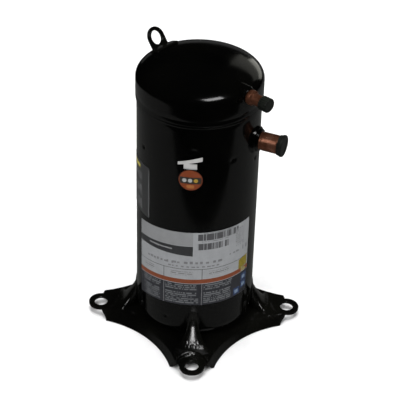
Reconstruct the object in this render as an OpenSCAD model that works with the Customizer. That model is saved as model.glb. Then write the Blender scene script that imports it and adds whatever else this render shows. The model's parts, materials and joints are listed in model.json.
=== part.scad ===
// Hermetic scroll compressor with its welded shell, mounting base and full internals.
// Origin: centre of the base, on the plane that the base stands on. +Z is up.
// Directions round the shell are given as degrees from -Y, growing towards +X.

/* [Base] */
// Distance between neighbouring foot holes (the holes form a square)
foot_pitch = 190.5; // [188:0.5:194]
// Diameter of a foot hole
foot_hole_d = 19; // [17:0.5:20]
// Sheet thickness of the base pressing
sheet = 3; // [2.5:0.1:3]
// Height of the arms' top face
arm_top = 15; // [14:0.5:16]

/* [Shell] */
// Outside diameter of the shell tube
shell_d = 165; // [164.6:0.1:165.4]
// Height of the weld seam between shell and top cap
seam_z = 364; // [363:0.5:365]
// Overall height to the top of the dome
dome_z = 416; // [414:0.5:420]
// Roundness of the dome: 2 is an ellipse, higher is squarer
dome_power = 2.4; // [2.2:0.1:2.6]

/* [Fittings] */
// Bore of the suction stub
suction_bore_d = 22.3; // [20:0.1:22.6]
// Bore of the discharge stub
discharge_bore_d = 12.8; // [12:0.1:13]
// Direction of the suction stub
suction_dir = 67; // [64:1:70]
// Direction of the discharge stub
discharge_dir = 48; // [44:1:52]
// Height of the suction stub
suction_z = 317; // [316:0.5:318]
// Height of the discharge stub
discharge_z = 396; // [395:0.5:397]

/* [Scroll set] */
// Distance between neighbouring turns of one wrap
wrap_pitch = 19; // [18.8:0.1:19]
// Crank throw of the orbiting scroll
orbit = 5; // [4.8:0.1:5]
// Clearance left between wrap flanks at their closest
flank_gap = 0.35; // [0.35:0.05:0.5]

/* [Motor] */
// Outside diameter of the rotor
rotor_d = 93; // [90:1:93]
// Number of stator slots
slots = 24; // [18:6:24]
// Number of rotor bars
bars = 22; // [16:2:26]

/* [Terminal box] */
// Width of the terminal box
box_w = 92; // [84:1:96]
// Height of the terminal box
box_h = 84; // [78:1:90]
// Height of the box's centre
box_z = 246; // [242:1:250]

/* [Hidden] */
$fn = 96;

fit_gap = 0.05;

// Base
foot_r = foot_pitch / sqrt(2);
tab_r = 17.5;
tab_top = 11.5;
dish_r = 21;
arm_end_r = 134;
side_centre = 165;
side_r_low = 140;
side_r_high = 147.4;
base_hole_r = 54;
rib_top = 64;
rib_half_top = 10;
rib_half_low = 22;

// Shell
shell_r = shell_d / 2;
wall = 3.5;
shell_in_r = shell_r - wall;
tube_low = 35;
tube_high = 374;
spigot_r = shell_r - 1.6;
knuckle = 20;
spigot_t = 2.6;
cap_r = 84;
cap_wall = 3;
cap_in_r = cap_r - cap_wall;
dome_low = 390;
stake_r = 3.4;
stake_depth = 1;
// Direction and height of each stake dimple in the shell
stakes = [[-59, 307], [-3, 327], [34, 307], [67, 288], [-28, 48],
          [124, 307], [-149, 307], [62, 48], [152, 48], [-118, 48]];

// Lifting lug
lug_dir = -132;
lug_r = 78;
lug_z = 418;
lug_turn = 6;
lug_lean = 33;
lug_eye_r = 9.5;
lug_out_r = 14.5;
lug_t = 4;
lug_foot_t = 2.6;
lug_foot_r = 64;

// Fittings
suction_wall = 1;
suction_r = suction_bore_d / 2 + suction_wall;
suction_in = 76;
suction_end = 119.5;
suction_cap_start = 114.5;
suction_flange_start = 118;
suction_cap_end = 121.8;
discharge_wall = 1.1;
discharge_r = discharge_bore_d / 2 + discharge_wall;
discharge_in = 73;
discharge_end = 114;
discharge_cap_start = 106;
discharge_cap_end = 118.5;

// Labels
label_t = 0.3;

// Terminal box
box_depth = 118;
box_wall = 1.5;
cover_t = 1.5;
conduit_r = 11.1;
pin_ring_r = 8;
cup_r = 22;

// Scroll stack, from below
plate_under = 318;
floor_z = 328;
wrap_top = 354;
tip_gap = 0.3;
fixed_top = 366;
wrap_t = wrap_pitch / 2 - orbit - flank_gap;
wrap_a = wrap_pitch / (2 * PI);
wrap_start = 1.25 * 180;
wrap_end = 5.2 * 180;
wrap_step = 7.5;
orbit_plate_r = 58;
fixed_wall_r = 64;
fixed_wall_in_r = 57.2;
hub_low = 292;
hub_out_r = 21;
hub_in_r = 15;
bush_r = 13;
pin_r = 9;
post_ring_r = 71;
post_r = 6.9;
post_top = 332;
post_dirs = [22.5, 112.5, 202.5, 292.5];
sleeve_r = 5.1;
sleeve_top = 352;
bolt_r = 3.2;
ear_low = 334;
ear_top = 350;
key_r = 53;
key_w = 8;
key_len = 8;
key_gap = 0.05;
groove_in_r = 22;
groove_out_r = 40;
groove_z = 360.5;

// Housing
flange_low = 284;
flange_top = 300;
ledge_z = 308.6;
thrust_r = 43;
cavity_r = 34;
cavity_z = 287;
main_journal_r = 14;
main_bush_r = 17;
bearing_low = 256;

// Motor
core_low = 112;
core_high = 202;
ring_h = 7;
rotor_r = rotor_d / 2;
air_gap = 0.5;
stator_in_r = rotor_r + air_gap;
bar_ring_r = rotor_r - 5;
bar_r = 2.6;
head_in_r = 51;
head_out_r = 70.5;
head_low = 82;
head_high = 232;

// Lower bearing
low_journal_r = 10;
shaft_low = 47;
low_journal_top = 72;
low_bush_r = 12.5;
bracket_low = 42;
bracket_top = 54;
oil_x = 3;
oil_r = 2.5;
pickup_r = 4.5;

// Turn a child drawn towards -Y to the given direction round the shell
module toward(dir) {
    rotate([0, 0, dir]) children();
}

// A cylinder along the outward direction, from radius a to radius b
module radial_rod(dir, z, r, a, b) {
    toward(dir)
        translate([0, -a, z])
            rotate([90, 0, 0])
                cylinder(r = r, h = b - a);
}

module ring(r_out, r_in, z_low, z_high) {
    translate([0, 0, z_low])
        difference() {
            cylinder(r = r_out, h = z_high - z_low);
            translate([0, 0, -1]) cylinder(r = r_in, h = z_high - z_low + 2);
        }
}

module disc(r, z_low, z_high) {
    translate([0, 0, z_low]) cylinder(r = r, h = z_high - z_low);
}

// ---- Base ----

// Four-armed star with flared concave sides, cut off by a round end
module star(grow, end_r, z_low, z_high) {
    slope = (side_r_high - side_r_low) / arm_top;
    difference() {
        disc(end_r, z_low, z_high);
        for (a = [45 : 90 : 315])
            rotate([0, 0, a])
                translate([side_centre * sqrt(2), 0, z_low - 1])
                    cylinder(
                        r1 = side_r_low + grow + slope * (z_low - 1),
                        r2 = side_r_low + grow + slope * (z_high + 1),
                        h = z_high - z_low + 2, $fn = 180);
    }
}

// One arm's gusset, along -Y: it hugs the shell at its top and sweeps out to the arm;
// t is how far the surface is moved inwards
module gusset_form(t) {
    s = 0.75 * t;
    intersection() {
        rotate([90, 0, -90])
            translate([0, 0, -30])
                linear_extrude(60)
                    polygon([
                        [74 - s, -t], [74 - s, rib_top - s], [84.5 - s, rib_top - s],
                        [85.5 - s, 51 - s], [88.5 - s, 43 - s], [93 - s, 35 - s],
                        [98 - s, 27.5 - s], [103 - s, 21 - s], [109 - s, 17 - s],
                        [117 - s, arm_top - s], [117 - s, -t]]);
        rotate([90, 0, 0])
            linear_extrude(130)
                polygon([
                    [-rib_half_low + t, -t], [rib_half_low - t, -t],
                    [rib_half_low - t, 18], [rib_half_top + 7 - t, 32],
                    [rib_half_top + 3 - t, 44],
                    [rib_half_top - t, 52], [rib_half_top - t, rib_top + 1],
                    [-rib_half_top + t, rib_top + 1], [-rib_half_top + t, 52],
                    [-rib_half_top - 3 + t, 44], [-rib_half_top - 7 + t, 32],
                    [-rib_half_low + t, 18]]);
    }
}

module base_plate() color([0.05, 0.05, 0.055]) {
    difference() {
        union() {
            difference() {
                star(0, arm_end_r, 0, arm_top);
                star(sheet, arm_end_r + 5, -2, arm_top - sheet);
                for (a = [0 : 90 : 270])
                    rotate([0, 0, a])
                        translate([foot_r, 0, tab_top])
                            cylinder(r = dish_r, h = 10);
            }
            for (a = [0 : 90 : 270])
                rotate([0, 0, a]) {
                    intersection() {
                        star(0, arm_end_r, 0, arm_top);
                        translate([foot_r, 0, tab_top - sheet])
                            cylinder(r = dish_r + sheet, h = sheet);
                    }
                    intersection() {
                        star(0, arm_end_r, 0, arm_top);
                        translate([foot_r, 0, tab_top - sheet])
                            difference() {
                                cylinder(r = dish_r + sheet, h = arm_top - tab_top + sheet);
                                cylinder(r = dish_r, h = 10);
                            }
                    }
                    translate([foot_r, 0, tab_top - sheet])
                        cylinder(r = tab_r, h = sheet);
                    difference() {
                        gusset_form(0);
                        disc(shell_r + fit_gap, -5, rib_top + 5);
                        disc(arm_end_r, -5, arm_top - sheet);
                        translate([0, 0, -0.01]) gusset_form(sheet);
                    }
                }
        }
        disc(base_hole_r, -1, arm_top + 1);
        for (a = [0 : 90 : 270])
            rotate([0, 0, a]) {
                translate([foot_r, 0, -1]) cylinder(r = foot_hole_d / 2, h = arm_top);
                translate([0, 0, -0.02]) gusset_opening();
            }
    }
}

// Clears the arm's top sheet under the hollow gusset
module gusset_opening() {
    intersection() {
        gusset_form(sheet);
        translate([-30, -112, -1]) cube([60, 112 - shell_r - sheet, 70]);
    }
}

// ---- Shell ----

module bottom_cap() color([0.05, 0.05, 0.055])
    rotate_extrude() {
        difference() {
            union() {
                translate([0, arm_top]) square([shell_r - knuckle, wall]);
                intersection() {
                    translate([shell_r - knuckle, arm_top + knuckle]) circle(r = knuckle);
                    translate([shell_r - knuckle, arm_top]) square([knuckle, knuckle]);
                }
            }
            translate([shell_r - knuckle, arm_top + knuckle]) circle(r = knuckle - wall);
            translate([0, arm_top + wall]) square([shell_r - knuckle, knuckle]);
        }
        // spigot that stands inside the tube
        translate([shell_in_r - spigot_t, tube_low - 4])
            square([spigot_t - fit_gap, 9]);
    }

module stake_cuts() {
    for (s = stakes)
        radial_rod(s[0], s[1], stake_r, shell_r - stake_depth, shell_r + 5);
}

module shell_tube() color([0.05, 0.05, 0.055])
    difference() {
        union() {
            disc(shell_r, tube_low, seam_z);
            disc(spigot_r, seam_z - 1, tube_high);
            // weld bead just under the cap's edge
            rotate_extrude()
                translate([shell_r - 0.4, seam_z - 1.7]) circle(r = 1.6, $fn = 32);
        }
        disc(shell_in_r, tube_low - 1, tube_high + 1);
        radial_rod(suction_dir, suction_z, suction_r + fit_gap, 60, 100);
        radial_rod(180, box_z, cup_r + fit_gap, 60, 100);
        stake_cuts();
    }

function dome_points(r, h, z) = [
    for (i = [0 : 22])
        let (a = 90 * i / 22, x = r * cos(a))
            [x, z + h * pow(max(0, 1 - pow(x / r, dome_power)), 1 / dome_power)]];

// Solid of revolution inside the cap's outer surface, moved inwards by t
module dome_form(t, z_low) {
    rotate_extrude($fn = 180)
        polygon(concat(
            [[0, z_low], [cap_r - t, z_low]],
            dome_points(cap_r - t, dome_z - dome_low - t, dome_low)));
}

module top_cap() color([0.05, 0.05, 0.055])
    difference() {
        dome_form(0, seam_z);
        dome_form(cap_wall, seam_z - 1);
        radial_rod(discharge_dir, discharge_z, discharge_r + fit_gap, 40, 100);
    }

module lifting_lug() color([0.06, 0.06, 0.065])
    difference() {
        union() {
            intersection() {
                difference() {
                    dome_form(-lug_foot_t, seam_z);
                    dome_form(-fit_gap, seam_z - 1);
                }
                toward(lug_dir)
                    translate([-23, -lug_foot_r - 7, 380]) cube([46, 14, 60]);
            }
            toward(lug_dir)
                translate([0, -lug_r, lug_z])
                    rotate([90 + lug_lean, 0, lug_turn])
                        linear_extrude(lug_t)
                            difference() {
                                union() {
                                    circle(r = lug_out_r);
                                    translate([-lug_out_r, -22])
                                        square([2 * lug_out_r, 22]);
                                }
                                circle(r = lug_eye_r);
                            }
        }
        dome_form(-fit_gap, seam_z - 1);
    }

// ---- Fittings ----

module suction_collar() color([0.06, 0.06, 0.065])
    difference() {
        union() {
            radial_rod(suction_dir, suction_z, 18.5, 70, shell_r + 3.5);
            radial_rod(suction_dir, suction_z, 15, 70, shell_r + 7);
        }
        disc(shell_r + fit_gap, 280, 350);
        radial_rod(suction_dir, suction_z, suction_r + fit_gap, 60, 100);
    }

module suction_stub() color([0.72, 0.42, 0.29])
    difference() {
        radial_rod(suction_dir, suction_z, suction_r, suction_in, suction_end);
        radial_rod(suction_dir, suction_z, suction_bore_d / 2,
                   suction_in - 5, suction_end + 5);
    }

module suction_cap() color([0.07, 0.08, 0.075])
    difference() {
        union() {
            radial_rod(suction_dir, suction_z, suction_r + 1.5,
                       suction_cap_start, suction_cap_end - 1);
            radial_rod(suction_dir, suction_z, suction_r + 2.6,
                       suction_flange_start, suction_cap_end);
        }
        radial_rod(suction_dir, suction_z, suction_r + fit_gap,
                   suction_cap_start - 1, suction_end + fit_gap);
    }

module discharge_collar() color([0.06, 0.06, 0.065])
    difference() {
        union() {
            radial_rod(discharge_dir, discharge_z, 12.4, 62, cap_r - 1);
            radial_rod(discharge_dir, discharge_z, 10.6, 62, cap_r + 1.5);
        }
        dome_form(-fit_gap, seam_z - 1);
        radial_rod(discharge_dir, discharge_z, discharge_r + fit_gap, 40, 100);
    }

module discharge_stub() color([0.72, 0.42, 0.29])
    difference() {
        union() {
            radial_rod(discharge_dir, discharge_z, discharge_r, discharge_in, discharge_end);
            radial_rod(discharge_dir, discharge_z, discharge_r + 2.6,
                       cap_r + 1.5 + fit_gap, cap_r + 9);
        }
        radial_rod(discharge_dir, discharge_z, discharge_bore_d / 2,
                   discharge_in - 5, discharge_end + 5);
    }

module discharge_cap() color([0.07, 0.08, 0.075])
    difference() {
        radial_rod(discharge_dir, discharge_z, discharge_r + 2.2,
                   discharge_cap_start, discharge_cap_end);
        radial_rod(discharge_dir, discharge_z, discharge_r + fit_gap,
                   discharge_cap_start - 1, discharge_end + fit_gap);
    }

// ---- Labels ----

// Thin curved sheet on the shell between two directions and two heights
module wrap_sheet(dir_a, dir_b, z_low, z_high) {
    rotate([0, 0, dir_a - 90])
        translate([0, 0, z_low])
            rotate_extrude(angle = dir_b - dir_a)
                translate([shell_r + 0.02, 0]) square([label_t, z_high - z_low]);
}

module nameplate_label() color([0.8, 0.8, 0.82]) wrap_sheet(-63, 60, 76, 198);

module side_label() color([0.35, 0.36, 0.36]) wrap_sheet(-86, -49, 200, 280);

module round_sticker() color([0.9, 0.5, 0.2])
    intersection() {
        wrap_sheet(-25, 15, 260, 310);
        radial_rod(-5.8, 283, 16, 60, 100);
    }

module tag_sticker() color([0.85, 0.85, 0.85])
    intersection() {
        wrap_sheet(-25, 15, 295, 325);
        toward(-6.2)
            rotate([90, 0, 0])
                linear_extrude(100) {
                    translate([-8.5, 299.4]) square([17, 9]);
                    translate([-17, 307]) square([34, 8]);
                }
    }

// ---- Terminal box ----

module terminal_cup() color([0.5, 0.5, 0.5])
    difference() {
        radial_rod(180, box_z, cup_r, 71, 84);
        radial_rod(180, box_z, cup_r - 2, 73, 90);
        pin_places() rotate([90, 0, 0]) translate([0, 0, 60]) cylinder(r = 3, h = 30);
    }

// Three pin positions on the terminal cup, drawn at the rear of the shell
module pin_places() {
    for (a = [90, 210, 330])
        toward(180)
            translate([pin_ring_r * cos(a), 0, box_z + pin_ring_r * sin(a)])
                children();
}

module terminal_glass() color([0.2, 0.25, 0.3])
    pin_places()
        rotate([90, 0, 0])
            translate([0, 0, 70.5])
                difference() {
                    cylinder(r = 3, h = 3);
                    translate([0, 0, -1]) cylinder(r = 1.6, h = 5);
                }

module terminal_pins() color([0.75, 0.6, 0.35])
    pin_places() rotate([90, 0, 0]) translate([0, 0, 64]) cylinder(r = 1.6, h = 31);

module terminal_box() color([0.07, 0.07, 0.075])
    difference() {
        translate([-box_w / 2, 60, box_z - box_h / 2]) cube([box_w, box_depth - 60, box_h]);
        translate([-box_w / 2 + box_wall, 50, box_z - box_h / 2 + box_wall])
            cube([box_w - 2 * box_wall, box_depth, box_h - 2 * box_wall]);
        disc(shell_r + fit_gap, box_z - 60, box_z + 60);
        translate([22, box_depth - 16, box_z - box_h / 2 - 5])
            cylinder(r = conduit_r, h = 20);
    }

module terminal_cover() color([0.08, 0.08, 0.085]) {
    half_w = box_w / 2 + 0.3;
    half_h = box_h / 2 + 0.3;
    difference() {
        translate([-half_w - cover_t, box_depth - 10, box_z - half_h - cover_t])
            cube([2 * (half_w + cover_t), 10 + cover_t + 0.3, 2 * (half_h + cover_t)]);
        translate([-half_w, box_depth - 20, box_z - half_h])
            cube([2 * half_w, 20.3, 2 * half_h]);
        // notch in the lower lip for the conduit fitting
        translate([6, box_depth - 20, box_z - half_h - 5]) cube([32, 19, 10]);
    }
}

module terminal_block() color([0.85, 0.85, 0.8])
    difference() {
        toward(180) translate([-14, -100, box_z - 13]) cube([28, 12, 26]);
        pin_places()
            rotate([90, 0, 0])
                translate([0, 0, 80]) cylinder(r = 1.7, h = 16);
    }

module ground_screw() color([0.3, 0.55, 0.35]) {
    translate([-34, 92, box_z - box_h / 2 + box_wall])
        cylinder(r = 4.5, h = 3.5, $fn = 6);
    translate([-34, 92, box_z - box_h / 2 - 3])
        cylinder(r = 2.2, h = 3);
}

// ---- High side ----

module muffler_plate() color([0.4, 0.4, 0.42])
    difference() {
        union() {
            disc(cap_in_r - 0.1, tube_high + 0.02, tube_high + 4);
            ring(32, 21, tube_high - 1.1, tube_high + 1);
        }
        disc(8, tube_high - 5, tube_high + 10);
        translate([0, 48, tube_high - 5]) cylinder(r = 4, h = 20);
    }

module relief_valve() color([0.7, 0.65, 0.4])
    translate([0, 48, 0]) {
        disc(4 - fit_gap, tube_high - 1, tube_high + 4);
        translate([0, 0, tube_high + 4]) cylinder(r = 7, h = 6, $fn = 6);
        difference() {
            disc(4.5, tube_high + 10, tube_high + 14);
            disc(2, tube_high + 11, tube_high + 15);
        }
    }

module check_valve_seat() color([0.6, 0.6, 0.62])
    difference() {
        union() {
            disc(8 - fit_gap, tube_high - 1, tube_high + 4);
            disc(13, tube_high + 4, tube_high + 6);
        }
        disc(5.5, tube_high - 2, tube_high + 7);
    }

module check_valve_disc() color([0.3, 0.3, 0.32])
    disc(8, tube_high + 6.02, tube_high + 7);

module check_valve_cage() color([0.6, 0.6, 0.62])
    difference() {
        disc(13, tube_high + 6, tube_high + 13);
        disc(9, tube_high + 5, tube_high + 10.5);
        disc(4, tube_high + 5, tube_high + 20);
        for (a = [0 : 60 : 300])
            rotate([0, 0, a])
                translate([8, -2.5, tube_high + 7.5]) cube([10, 5, 3]);
    }

// ---- Scroll set ----

module floating_seal() color([0.6, 0.6, 0.62])
    difference() {
        union() {
            ring(groove_out_r - 0.4, groove_in_r + 0.4, groove_z + 1, groove_z + 7);
            ring(30, 25, groove_z + 6, groove_z + 10.5);
        }
        ring(groove_out_r + 1, groove_out_r - 2.4, groove_z + 2.5, groove_z + 5);
        ring(groove_in_r + 2.4, groove_in_r - 1, groove_z + 2.5, groove_z + 5);
    }

module outer_seal_ring() color([0.15, 0.15, 0.16])
    ring(groove_out_r - fit_gap, groove_out_r - 2.2, groove_z + 2.6, groove_z + 4.9);

module inner_seal_ring() color([0.15, 0.15, 0.16])
    ring(groove_in_r + 2.2, groove_in_r + fit_gap, groove_z + 2.6, groove_z + 4.9);

// Point of an involute of the base circle whose start is turned by off degrees,
// on the base circle's tangent line at t degrees
function involute(t, off) =
    let (u = (t - off) * PI / 180)
        [wrap_a * (cos(t) + u * sin(t)), wrap_a * (sin(t) - u * cos(t))];

module wrap_outline() {
    half = wrap_t / 2 / wrap_a * 180 / PI;
    steps = round((wrap_end - wrap_start) / wrap_step);
    polygon(concat(
        [for (i = [0 : steps]) involute(wrap_start + i * wrap_step, -half)],
        [for (i = [steps : -1 : 0]) involute(wrap_start + i * wrap_step, half)]));
}

module non_orbiting_scroll() color([0.5, 0.5, 0.52])
    difference() {
        union() {
            disc(fixed_wall_r, wrap_top, fixed_top);
            ring(fixed_wall_r, fixed_wall_in_r, floor_z + tip_gap, wrap_top + 1);
            ring(groove_in_r, groove_in_r - 4, fixed_top - 1, fixed_top + 3);
            ring(groove_out_r + 5, groove_out_r, fixed_top - 1, fixed_top + 2);
            translate([0, 0, floor_z + tip_gap])
                linear_extrude(wrap_top - floor_z) wrap_outline();
            for (d = post_dirs)
                toward(d) {
                    translate([0, -post_ring_r, ear_low])
                        cylinder(r = post_r, h = ear_top - ear_low);
                    translate([-post_r, -post_ring_r, ear_low])
                        cube([2 * post_r, post_ring_r - fixed_wall_r + 3, ear_top - ear_low]);
                }
        }
        disc(5, wrap_top - 1, fixed_top + 5);
        ring(groove_out_r, groove_in_r, groove_z, fixed_top + 5);
        for (d = post_dirs)
            toward(d)
                translate([0, -post_ring_r, ear_low - 1])
                    cylinder(r = sleeve_r + fit_gap, h = 20);
        // suction windows at both ends of the outer pocket
        toward(suction_dir)
            translate([-14, -70, floor_z]) cube([28, 16, 20]);
        toward(suction_dir + 180)
            translate([-14, -70, floor_z]) cube([28, 16, 20]);
    }

module orbiting_scroll() color([0.48, 0.48, 0.5])
    translate([orbit, 0, 0])
        difference() {
            union() {
                disc(orbit_plate_r, plate_under, floor_z);
                translate([0, 0, floor_z - 1])
                    linear_extrude(wrap_top - floor_z + 1 - tip_gap)
                        rotate(180) wrap_outline();
                disc(hub_out_r, hub_low, plate_under + 1);
            }
            disc(hub_in_r, hub_low - 1, plate_under - 2);
            for (s = [-1, 1])
                translate([-key_w / 2 - key_gap, s * (key_r + 4) - 13, plate_under - 1])
                    cube([key_w + 2 * key_gap, 26, 6]);
        }

module hub_bearing() color([0.7, 0.55, 0.35])
    translate([orbit, 0, 0]) ring(hub_in_r, bush_r + fit_gap, hub_low, plate_under - 3);

module drive_bush() color([0.55, 0.55, 0.57])
    translate([orbit, 0, 0])
        difference() {
            disc(bush_r, 291, 313);
            disc(pin_r + 0.02, 290, 314);
        }

module bush_washer() color([0.7, 0.7, 0.7])
    translate([orbit / 2, 0, 0]) ring(19.5, pin_r + orbit / 2 + 0.4, 288.4, 289.6);

module oldham_ring() color([0.65, 0.65, 0.67])
    translate([orbit, 0, 0]) {
        ring(key_r + 4, key_r - 4, ledge_z + 0.4, ledge_z + 4.4);
        for (s = [-1, 1]) {
            translate([s * key_r - key_len / 2, -key_w / 2, ledge_z - 5])
                cube([key_len, key_w, 6]);
            translate([-key_w / 2, s * key_r - 3.5, ledge_z + 4])
                cube([key_w, 7, plate_under + 4.6 - ledge_z - 4]);
        }
    }

module guide_sleeves() color([0.6, 0.6, 0.62])
    for (d = post_dirs)
        toward(d)
            translate([0, -post_ring_r, 0]) ring(sleeve_r, bolt_r + 0.1, post_top, sleeve_top);

module scroll_bolts() color([0.35, 0.35, 0.36])
    for (d = post_dirs)
        toward(d)
            translate([0, -post_ring_r, 0]) {
                disc(bolt_r, 312, sleeve_top + 1);
                translate([0, 0, sleeve_top]) cylinder(r = 6.4, h = 6, $fn = 6);
            }

// ---- Main bearing ----

module main_bearing_housing() color([0.3, 0.3, 0.31])
    difference() {
        union() {
            disc(shell_in_r - fit_gap, flange_low, flange_top);
            disc(66, flange_low, ledge_z);
            disc(thrust_r, flange_low, plate_under - fit_gap);
            disc(27, bearing_low, flange_low + 1);
            for (d = post_dirs)
                toward(d)
                    translate([0, -post_ring_r, flange_low])
                        cylinder(r = post_r, h = post_top - flange_low);
        }
        disc(cavity_r, cavity_z, plate_under + 1);
        disc(main_bush_r, bearing_low - 1, cavity_z + 1);
        for (s = [-1, 1])
            translate([s * key_r - 9.5, -key_w / 2 - key_gap, ledge_z - 6])
                cube([19, key_w + 2 * key_gap, 10]);
        for (d = post_dirs)
            toward(d)
                translate([0, -post_ring_r, 306]) cylinder(r = bolt_r + 0.1, h = 40);
        // gas passages through the flange
        for (d = [0, 67, 180, 247])
            toward(d)
                translate([-15, -84, flange_low - 1]) cube([30, 14, 30]);
    }

module main_bearing() color([0.7, 0.55, 0.35])
    ring(main_bush_r, main_journal_r + 0.04, bearing_low, cavity_z - 1);

module suction_baffle() color([0.5, 0.5, 0.5])
    toward(suction_dir)
        rotate([0, 0, -90 - 16])
            translate([0, 0, 303])
                rotate_extrude(angle = 32)
                    translate([70.5, 0]) square([1.2, 26]);

// ---- Rotating group ----

module crankshaft() color([0.55, 0.55, 0.56])
    difference() {
        union() {
            disc(low_journal_r, shaft_low, low_journal_top);
            disc(main_journal_r, low_journal_top, 288);
            translate([orbit, 0, 0]) disc(pin_r, 287, 312);
        }
        translate([oil_x, 0, 0]) disc(oil_r, shaft_low - 1, 314);
        disc(pickup_r, shaft_low - 1, shaft_low + 8);
        // cross drilling that feeds the main bearing
        translate([-20, 0, 270]) rotate([0, 90, 0]) cylinder(r = 1.5, h = 23);
    }

module oil_pickup() color([0.6, 0.6, 0.62])
    difference() {
        union() {
            disc(pickup_r - fit_gap, 32, shaft_low + 7);
            translate([0, 0, 25]) cylinder(r1 = 2.6, r2 = pickup_r - fit_gap, h = 7);
        }
        disc(pickup_r - 1.5, 32, shaft_low + 9);
        disc(1.6, 24, 33);
    }

module rotor_core() color([0.35, 0.35, 0.37])
    difference() {
        disc(rotor_r, core_low, core_high);
        disc(main_journal_r, core_low - 1, core_high + 1);
        for (i = [0 : bars - 1])
            rotate([0, 0, i * 360 / bars])
                translate([bar_ring_r, 0, core_low - 1])
                    cylinder(r = bar_r + 0.05, h = core_high - core_low + 2, $fn = 24);
    }

module rotor_cage() color([0.75, 0.75, 0.77])
    union() {
        ring(rotor_r - 1.5, 26, core_low - ring_h, core_low);
        ring(rotor_r - 1.5, 26, core_high, core_high + ring_h);
        for (i = [0 : bars - 1])
            rotate([0, 0, i * 360 / bars])
                translate([bar_ring_r, 0, core_low - 1])
                    cylinder(r = bar_r, h = core_high - core_low + 2, $fn = 24);
    }

// Half ring of cast iron; side is -1 or 1 along X
module counterweight(side, z_low, z_high) {
    intersection() {
        ring(43, 20, z_low, z_high);
        translate([side > 0 ? 4 : -54, -50, z_low - 1]) cube([50, 100, z_high - z_low + 2]);
    }
}

module upper_counterweight() color([0.45, 0.42, 0.3])
    counterweight(-1, core_high + ring_h, core_high + ring_h + 13);

module lower_counterweight() color([0.45, 0.42, 0.3])
    counterweight(1, core_low - ring_h - 11, core_low - ring_h);

// ---- Stator ----

module slot_cut(w, r_low, r_high, z_low, z_high) {
    for (i = [0 : slots - 1])
        rotate([0, 0, i * 360 / slots])
            translate([r_low, -w / 2, z_low]) cube([r_high - r_low, w, z_high - z_low]);
}

module stator_core() color([0.35, 0.36, 0.38])
    difference() {
        disc(shell_in_r - fit_gap, core_low, core_high);
        disc(stator_in_r, core_low - 1, core_high + 1);
        slot_cut(5.4, stator_in_r + 2, 66, core_low - 1, core_high + 1);
        slot_cut(2.2, stator_in_r - 3, stator_in_r + 4, core_low - 1, core_high + 1);
        for (a = [45 : 90 : 315])
            rotate([0, 0, a])
                translate([76, -25, core_low - 1]) cube([10, 50, core_high - core_low + 2]);
    }

module winding_head(z_low, z_high) {
    rotate_extrude()
        translate([0, z_low])
            polygon([
                [head_in_r, 0], [head_out_r - 5, 0], [head_out_r, 8],
                [head_out_r, z_high - z_low - 8], [head_out_r - 5, z_high - z_low],
                [head_in_r + 3, z_high - z_low], [head_in_r, z_high - z_low - 4]]);
}

module stator_winding() color([0.6, 0.3, 0.15]) {
    winding_head(head_low, core_low - 0.2);
    winding_head(core_high + 0.2, head_high);
    slot_cut(5, head_in_r, 65.8, core_low - 1, core_high + 1);
}

module motor_protector() color([0.2, 0.2, 0.2])
    toward(150) translate([-7, -68, head_high]) cube([14, 12, 9]);

module inner_plug() color([0.8, 0.78, 0.7])
    difference() {
        toward(180) translate([-14, -70.5, box_z - 8]) cube([28, 10, 20]);
        pin_places()
            rotate([90, 0, 0])
                translate([0, 0, 58]) cylinder(r = 1.65, h = 16);
    }

module motor_leads() color([0.7, 0.2, 0.15])
    for (x = [-8, 0, 8])
        translate([x, 66, head_high]) cylinder(r = 1.5, h = box_z - 8 - head_high);

// ---- Lower bearing ----

module lower_bearing_bracket() color([0.4, 0.4, 0.42])
    difference() {
        union() {
            disc(20, bracket_low, low_journal_top);
            intersection() {
                disc(shell_in_r - fit_gap, bracket_low, bracket_top);
                for (a = [-28, 62, 152, 242])
                    toward(a)
                        translate([-9, -90, bracket_low])
                            cube([18, 90, bracket_top - bracket_low]);
            }
        }
        disc(low_bush_r, shaft_low - 2, low_journal_top + 1);
        disc(7, bracket_low - 1, shaft_low);
    }

module lower_bearing() color([0.7, 0.55, 0.35])
    ring(low_bush_r, low_journal_r + 0.04, shaft_low + 0.5, low_journal_top - 0.5);

module lower_thrust_plate() color([0.6, 0.6, 0.62])
    ring(low_bush_r - 0.1, pickup_r + 0.6, shaft_low - 2, shaft_low - 0.02);

module sump_magnet() color([0.25, 0.25, 0.26])
    translate([40, 0, 0]) ring(9, 3, arm_top + wall, arm_top + wall + 5);

base_plate();
bottom_cap();
shell_tube();
top_cap();
lifting_lug();
suction_collar();
suction_stub();
suction_cap();
discharge_collar();
discharge_stub();
discharge_cap();
nameplate_label();
round_sticker();
tag_sticker();
side_label();
terminal_cup();
terminal_glass();
terminal_pins();
terminal_box();
terminal_cover();
terminal_block();
ground_screw();
muffler_plate();
relief_valve();
check_valve_seat();
check_valve_disc();
check_valve_cage();
floating_seal();
outer_seal_ring();
inner_seal_ring();
non_orbiting_scroll();
orbiting_scroll();
hub_bearing();
oldham_ring();
bush_washer();
drive_bush();
guide_sleeves();
scroll_bolts();
main_bearing_housing();
main_bearing();
suction_baffle();
crankshaft();
oil_pickup();
rotor_core();
rotor_cage();
upper_counterweight();
lower_counterweight();
stator_core();
stator_winding();
motor_protector();
inner_plug();
motor_leads();
lower_bearing_bracket();
lower_bearing();
lower_thrust_plate();
sump_magnet();
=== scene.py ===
"""Looks of a hermetic scroll compressor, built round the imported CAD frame.

Directions round the shell are degrees from -Y, growing towards +X, as in the CAD model.
Sizes are in millimetres until a mesh is made; MM turns them into metres.
"""

import json
import math
import random

import bmesh
import bpy
from mathutils import Matrix, Vector


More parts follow.
